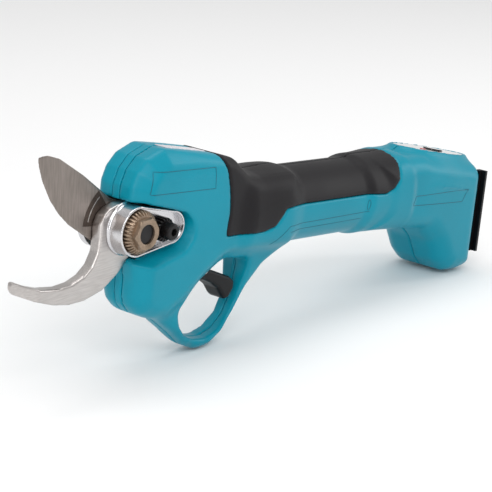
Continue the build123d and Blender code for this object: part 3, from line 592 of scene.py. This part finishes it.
# fine grooves that part or frame the nylon faces
grooves = {"radius": 0.13, "step": 0.8, "probe": 0.1, "paths": {
    "headPlateOutline": [(5.2, 23.6), (40.2, 23.2), (41.0, 14.4), (2.9, 14.8), (5.2, 23.6)],
    "rearPlateOutline": [(178.6, -5.3), (181.0, -1.0), (222.8, -1.1), (219.0, -6.9), (178.6, -5.3)],
    "handleUpperLine": [(80, -13.5), (84.7, -9.6), (88.7, -5.7), (118.7, -5.4), (146.6, -5)],
    "handleLowerLine": [(90, -8.6), (118.7, -8.4), (143, -8.1)],
    "ovalMark": [(145.2, -4.4), (144.5, -3.4), (144.3, -1.8), (144.5, -0.2), (145.2, 0.8), (145.9, -0.2),
                 (146.1, -1.8), (145.9, -3.4), (145.2, -4.4)]}}


def grooveLine(name, path):
    # the path is resampled evenly and dropped sideways on to the body; a thin tube is carried along it
    path = np.array(path, float)
    along = np.concatenate([[0], np.cumsum(np.linalg.norm(np.diff(path, axis=0), axis=1))])
    spots = np.linspace(0, along[-1], int(along[-1] / grooves["step"]) + 2)
    x, z = np.interp(spots, along, path[:, 0]), np.interp(spots, along, path[:, 1])
    y = np.arange(-20, -3.95, grooves["probe"])
    body = bodyField(x[:, None], y[None, :], z[:, None])[0]
    first = np.argmax(body < 0, axis=1)
    row = np.arange(len(x))
    before, after = body[row, first - 1], body[row, first]
    surface = y[first - 1] + grooves["probe"] * before / (before - after)
    line = np.stack([x, surface, z], 1)
    tangent = np.gradient(line, axis=0)
    tangent /= np.linalg.norm(tangent, axis=1)[:, None]
    out = np.cross(tangent, (0, -1, 0))
    out /= np.linalg.norm(out, axis=1)[:, None]
    turn = np.linspace(0, 2 * np.pi, 6, endpoint=False)
    # the tube narrows at both ends
    size = grooves["radius"] * np.where((row == 0) | (row == len(x) - 1), 0.3, 1.0)
    ring = (out[:, None] * np.cos(turn)[None, :, None]
            + np.cross(tangent, out)[:, None] * np.sin(turn)[None, :, None])
    points = (line[:, None] + ring * size[:, None, None]).reshape(-1, 3)
    i, j = np.meshgrid(np.arange(len(x) - 1), np.arange(6), indexing="ij")
    faces = np.stack([i * 6 + j, i * 6 + (j + 1) % 6, (i + 1) * 6 + (j + 1) % 6, (i + 1) * 6 + j], -1)
    last = (len(x) - 1) * 6
    caps = np.array([[3, 2, 1, 0], [5, 4, 3, 0], [last, last + 1, last + 2, last + 3],
                     [last, last + 3, last + 4, last + 5]])
    addPiece(name, points, np.concatenate([faces.reshape(-1, 4), caps]), "partingGroove", "root")


for pathName, pathPoints in grooves["paths"].items():
    grooveLine(pathName, pathPoints)

# blades
blades = {"cell": 0.4,
          "hook": [(-57, -15.5), (-50, -18.2), (-43.1, -19.9), (-33.8, -20.7), (-26.9, -19.8), (-21.2, -17.5),
                   (-16.9, -13.7), (-14.5, -8.7), (-14.0, -3), (-14.2, 2.6), (-12.6, 6.2), (-9.4, 8.6),
                   (-5, 10.1), (0, 10.6), (9, 10.2), (24, 8), (29, 5), (31, 0), (29, -4.6), (24, -8),
                   (4, -11.5),
                   (-2.6, -18.8), (-10.5, -24.4), (-20, -27.3), (-28.3, -27.9), (-36.6, -26.9),
                   (-46.6, -24.2), (-55.6, -20.9), (-57.3, -18.5)],
          "cutter": [(-46.5, 30.9), (-45.3, 26.7), (-43, 21.1), (-38.2, 13.4), (-32.9, 7.4), (-27.1, 2.6),
                     (-18.9, -2.2), (-13, -5.6), (-9.0, -6.3), (-7.1, -8.4), (-3, -10.6), (1.9, -10.8),
                     (6.5, -8.9), (10.6, -2.8), (17.5, -3.2), (18.6, 1.5), (17, 5.2), (12, 6.2), (7, 8.5),
                     (2, 10.8), (-3.4, 10.5), (-12.2, 16.2), (-21, 22), (-34.4, 29.4), (-41, 31.2)],
          "hookBack": 5, "hookThin": 3.0, "tipFrom": -57, "tipTo": -43, "boltBore": 4.05, "bushBore": 6.05,
          "cutterMiddle": 2.15, "cutterHalf": 2.0, "pin": (13.92, 1.46), "pinBore": 2.62}


def makeBlades():
    cell = blades["cell"]
    low, high = (-60, -6.5, -31), (34, 1.5, 14)
    x, y, z = gridOf(low, high, cell)
    outline = outlineDistance(x, z, roundCorners(blades["hook"], 3.0))
    mouth = outlineDistance(x, z, [(-57, -15.5), (-43.1, -19.9), (-33.8, -20.7), (-26.9, -19.8),
                                   (-21.2, -17.5), (-16.9, -13.7), (-14.5, -8.7), (-13.9, -4),
                                   (-14, 14), (-57, 14)])
    thin = blades["hookThin"] * (1 - smoothStep(x, blades["tipFrom"], blades["tipTo"]))
    plate = np.maximum(-blades["hookBack"] - y, y + 0.02)
    hook = meet(outline, plate, 0.35)
    # thinner towards the tip, and the edge along the mouth relieved on its left face
    hook = np.maximum(hook, -y - blades["hookBack"] + thin * 0.9)
    hook = meet(hook, 0.62 * (-y - 4.0) + 0.78 * (-mouth - 0.2), 0.3)
    hook = np.maximum(hook, blades["boltBore"] - np.sqrt(x ** 2 + z ** 2))
    points, faces = netOf(hook.astype(np.float32), low, cell)
    piece = addPiece("hookBlade", points, faces, "groundHookSteel", "root", 38)
    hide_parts("fixed_blade")
    low, high = (-50, -1.2, -13), (21, 5.4, 34)
    x, y, z = gridOf(low, high, cell)
    outline = outlineDistance(x, z, roundCorners(blades["cutter"], 1.5))
    edge = [(-46.5, 30.9), (-45.3, 26.7), (-43, 21.1), (-38.2, 13.4), (-32.9, 7.4), (-27.1, 2.6),
            (-18.9, -2.2), (-13, -5.6), (60, -40), (60, 60)]
    fromEdge = -outlineDistance(x, z, edge)
    cutter = meet(outline, np.abs(y - blades["cutterMiddle"]) - blades["cutterHalf"], 0.3)
    # hollow-ground bevel: the right face closes on the cutting edge over eleven millimetres
    bevel = (y - 0.35) * 0.95 - fromEdge * 0.33
    cutter = meet(cutter, bevel, 0.2)
    cutter = np.maximum(cutter, blades["bushBore"] - np.sqrt(x ** 2 + z ** 2))
    pinX, pinZ = blades["pin"]
    cutter = np.maximum(cutter, blades["pinBore"] - np.sqrt((x - pinX) ** 2 + (z - pinZ) ** 2))
    points, faces = netOf(cutter.astype(np.float32), low, cell)
    piece = addPiece("cuttingBlade", points, faces, "coatedBladeSteel", "moving_blade",
                     38)
    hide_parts("moving_blade")


makeBlades()


# painted shade and a painted highlight on the cutting blade's left face: radii, angles in degrees about the
# pivot, and depths
marks = {
    # painted shade: a dark brown band round the pivot, starting at the holder's rim
    "bladePaintedShadeBand": {"radii": (11.6, 19.2), "angles": (128, 176), "depths": (0.07, 0.6),
                       "finish": "paintedShadeBladeSteel"},
    # painted highlight: a thin bright steel arc inside the band of painted shade
    "bladePaintedHighlightArc": {"radii": (16.6, 17.1), "angles": (132, 170), "depths": (0.04, 0.5),
                     "finish": "groundBearingSteel"},
}


def makeMark(name, mark, steps=40):
    # a flat ring sector: the angle runs along it, a rectangle of radius and depth lies across it
    angle = np.radians(np.linspace(*mark["angles"], steps + 1))
    (inner, outer), (left, right) = mark["radii"], mark["depths"]
    radius = np.array([inner, outer, outer, inner])
    depth = np.array([left, left, right, right])
    points = np.stack([radius * np.cos(angle)[:, None], np.broadcast_to(depth, (steps + 1, 4)),
                       radius * np.sin(angle)[:, None]], -1).reshape(-1, 3)
    i, j = np.meshgrid(np.arange(steps), np.arange(4), indexing="ij")
    faces = np.stack([i * 4 + j, (i + 1) * 4 + j, (i + 1) * 4 + (j + 1) % 4, i * 4 + (j + 1) % 4], -1)
    last = 4 * steps
    caps = np.array([[0, 1, 2, 3], [last + 3, last + 2, last + 1, last]])
    addPiece(name, points, np.concatenate([faces.reshape(-1, 4), caps]), mark["finish"], "moving_blade",
             30)


for markName, markShape in marks.items():
    makeMark(markName, markShape)

# aluminium blade holder
holder = {"cell": 0.3, "faceY": 12.7, "floorY": 10.05, "rim": 0.95, "backY": 5.02, "flangeY": 5.5,
          "reach": 19.4, "front": 10.4, "narrowing": 3.4,
          "flangeReach": 14.5, "flangeFront": 11.2, "flangeNarrowing": 2.6}


def makeHolder():
    # a teardrop block: two circles and their tangents, its floor sunk inside a thin rim
    low, high = (-14.5, -14.6, -14.0), (29.5, -4.4, 14.0)
    x, y, z = gridOf(low, high, holder["cell"])
    depth = -y
    t = np.clip(x / holder["reach"], 0, 1)
    tear = np.sqrt((x - holder["reach"] * t) ** 2 + z ** 2) - (holder["front"] - holder["narrowing"] * t)
    flange = np.sqrt((x - holder["flangeReach"] * t) ** 2 + z ** 2)
    flange = flange - (holder["flangeFront"] - holder["flangeNarrowing"] * t)
    block = meet(tear, depth - holder["faceY"], 0.5)
    base = meet(flange, depth - holder["flangeY"], 0.3)
    body = join(block, base, 1.2)
    pocket = np.maximum(tear + holder["rim"], holder["floorY"] - depth)
    body = meet(body, -pocket, 0.25)
    body = np.maximum(body, holder["backY"] - depth)
    body = np.maximum(body, blades["boltBore"] - np.sqrt(x ** 2 + z ** 2))
    points, faces = netOf(body.astype(np.float32), low, holder["cell"])
    piece = addPiece("bladeHolder", points, faces, "machinedAluminium", "root", 40)
    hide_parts("blade_holder")


makeHolder()

# trigger
trigger = {"cell": 0.45, "half": 5.0, "edgeRound": 1.6, "pivot": (49, -23), "bore": 1.58,
           "outline": [(45.5, -13.5), (49.5, -13.5), (52.6, -20), (55.5, -24.0), (63.4, -26.8), (68.5, -28.6),
                       (71.4, -30.9), (71.2, -34.0), (68.6, -37.8), (66.2, -38.4), (64.4, -37.0),
                       (61.0, -32.9), (56.6, -30.1), (51.8, -28.2), (47.5, -27.4), (45.6, -25)]}


def makeTrigger():
    low, high = (43.5, -6.4, -40.5), (73.5, 6.4, -11.5)
    x, y, z = gridOf(low, high, trigger["cell"])
    outline = outlineDistance(x, z, roundCorners(trigger["outline"], 1.2))
    field = meet(outline, np.abs(y) - trigger["half"], trigger["edgeRound"])
    pinX, pinZ = trigger["pivot"]
    field = np.maximum(field, trigger["bore"] - np.sqrt((x - pinX) ** 2 + (z - pinZ) ** 2))
    points, faces = netOf(field.astype(np.float32), low, trigger["cell"])
    piece = addPiece("fingerTrigger", points, faces, "mouldedBlackNylon", "trigger")
    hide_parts("trigger")


makeTrigger()


# turned pieces: nut, pinion, screw
def turned(name, rings, count, centre, finish, body, node, sharp=32):
    # a profile carried round the Y axis; each ring gives its depth and its radius at every angle
    angle = np.linspace(0, 2 * np.pi, count, endpoint=False)
    radius = np.stack([np.broadcast_to(r(angle) if callable(r) else r, angle.shape) for _, r in rings])
    depth = np.array([d for d, _ in rings])[:, None] * np.ones(count)
    points = np.stack([centre[0] + radius * np.cos(angle), -depth, centre[1] + radius * np.sin(angle)], -1)
    i, j = np.meshgrid(np.arange(len(rings)), np.arange(count), indexing="ij")
    nextRow, nextCol = (i + 1) % len(rings), (j + 1) % count
    faces = np.stack([i * count + j, i * count + nextCol, nextRow * count + nextCol, nextRow * count + j], -1)
    faces = faces.reshape(-1, 4)
    points = points.reshape(-1, 3)
    piece = addPiece(name, points, faces[:, ::-1], finish, body, sharp)
    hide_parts(node)
    return piece


def toothed(outer, depth, teeth, phase=0.0, flat=0.45):
    # a rounded square wave between the tip and the root radius
    def radius(angle):
        wave = np.cos(teeth * (angle - phase))
        return outer - depth * smoothStep(wave, flat, -flat)
    return radius


def hexagon(flats, turn):
    # the radius of a hexagon at each angle: half the flats over the cosine from the nearest flat
    def radius(angle):
        local = (angle - turn) % (np.pi / 3) - np.pi / 6
        return flats / 2 / np.cos(local)
    return radius


nut = {"teeth": 34, "outer": 8.9, "toothDepth": 0.95, "back": 10.15, "flats": 12.0, "front": 17.05,
       "turn": 8, "bore": 4.05}


def makeNut():
    tip = toothed(nut["outer"], nut["toothDepth"], nut["teeth"])
    tipIn = toothed(nut["outer"] - 0.5, nut["toothDepth"] - 0.1, nut["teeth"])
    slope = toothed(7.6, 0.55, nut["teeth"])
    hexa = hexagon(nut["flats"], math.radians(nut["turn"]))
    back, front, bore = nut["back"], nut["front"], nut["bore"]
    rings = [(back, bore), (back, 7.0), (back, tip), (13.2, tip), (14.05, tipIn), (14.75, slope),
             (14.8, 6.95), (14.85, hexa), (16.5, hexa), (16.75, lambda t: np.minimum(hexa(t), 6.6)),
             (front, lambda t: np.minimum(hexa(t), 6.2)), (front, 4.6), (16.8, bore)]
    turned("adjusterNut", rings, 816, (0.0, 0.0), "phosphatedNutSteel", "adjuster",
           "adjusting_nut")


makeNut()


pinion = {"teeth": 18, "outer": 4.9, "toothDepth": 0.95, "back": 10.15, "bore": 2.03, "centre": (13.0, 0.0),
          "knurl": 40, "headRadius": 3.5, "knurlDepth": 0.16, "socket": 3.0, "socketTurn": 0.3}


def makePinion():
    teeth, back, bore, centre = (pinion[k] for k in ("teeth", "back", "bore", "centre"))
    # half a tooth's turn sets a tooth against a gap of the nut
    phase = math.pi / teeth
    tip = toothed(pinion["outer"], pinion["toothDepth"], teeth, phase)
    rings = [(back, bore), (back, 3.0), (back, tip), (14.3, tip), (14.8, toothed(4.5, 0.8, teeth, phase)),
             (14.85, bore)]
    turned("lockPinion", rings, 432, centre, "blackOxideSteel", "pinion", "lock_pinion")
    knurl = toothed(pinion["headRadius"], pinion["knurlDepth"], pinion["knurl"])
    socket = hexagon(pinion["socket"], pinion["socketTurn"])
    rings = [(15.0, 0.0), (15.0, 3.2), (15.2, knurl), (18.2, knurl), (18.75, 3.2), (19.0, 2.8),
             (19.0, socket), (16.8, socket), (16.4, 0.0)]
    turned("lockSocketScrew", rings, 480, centre, "blackOxideSteel", "root",
           "lock_screw")


makePinion()
print("mechanism made")

# floor, world and lights
# each light: place, target, width and height in metres, power in watts
studio = {"floor": "#F4F4F4", "floorRough": 0.9, "world": 0.62,
          "lights": [("keyLight", (-0.55, -0.75, 0.85), (0.02, 0.0, 0.04), 0.7, 0.5, 4.0),
                     ("topLight", (0.15, 0.15, 1.1), (0.0, 0.0, 0.04), 1.0, 0.5, 4.5),
                     ("rearStrip", (0.9, -0.45, 0.45), (0.05, 0.0, 0.05), 0.16, 0.8, 2.0),
                     ("frontStrip", (-0.75, -0.35, 0.30), (-0.05, 0.0, 0.05), 0.16, 0.7, 1.4)]}


def makeStudio():
    floorMesh = bpy.data.meshes.new("studioFloor")
    floorMesh.from_pydata([(-4, -4, 0), (4, -4, 0), (4, 4, 0), (-4, 4, 0)], [], [(0, 1, 2, 3)])
    floor = bpy.data.objects.new("studioFloor", floorMesh)
    scene.collection.objects.link(floor)
    paper = bpy.data.materials.new("studioPaper")
    paper.use_nodes = True
    sheen = paper.node_tree.nodes["Principled BSDF"]
    sheen.inputs["Base Color"].default_value = linearColour(studio["floor"])
    sheen.inputs["Roughness"].default_value = studio["floorRough"]
    floorMesh.materials.append(paper)
    world = bpy.data.worlds.new("studioWorld")
    world.use_nodes = True
    world.node_tree.nodes["Background"].inputs["Color"].default_value = (1, 1, 1, 1)
    world.node_tree.nodes["Background"].inputs["Strength"].default_value = studio["world"]
    scene.world = world
    for name, place, target, width, height, power in studio["lights"]:
        data = bpy.data.lights.new(name, "AREA")
        data.shape, data.size, data.size_y, data.energy = "RECTANGLE", width, height, power
        light = bpy.data.objects.new(name, data)
        scene.collection.objects.link(light)
        back = np.array(place) - np.array(target)
        back = back / np.linalg.norm(back)
        right = np.cross((0, 0, 1), back)
        right = right / np.linalg.norm(right)
        up = np.cross(back, right)
        light.matrix_world = Matrix([[right[i], up[i], back[i], place[i]] for i in range(3)] + [[0, 0, 0, 1]])
    scene.view_settings.view_transform = "Standard"


makeStudio()
print("studio made")

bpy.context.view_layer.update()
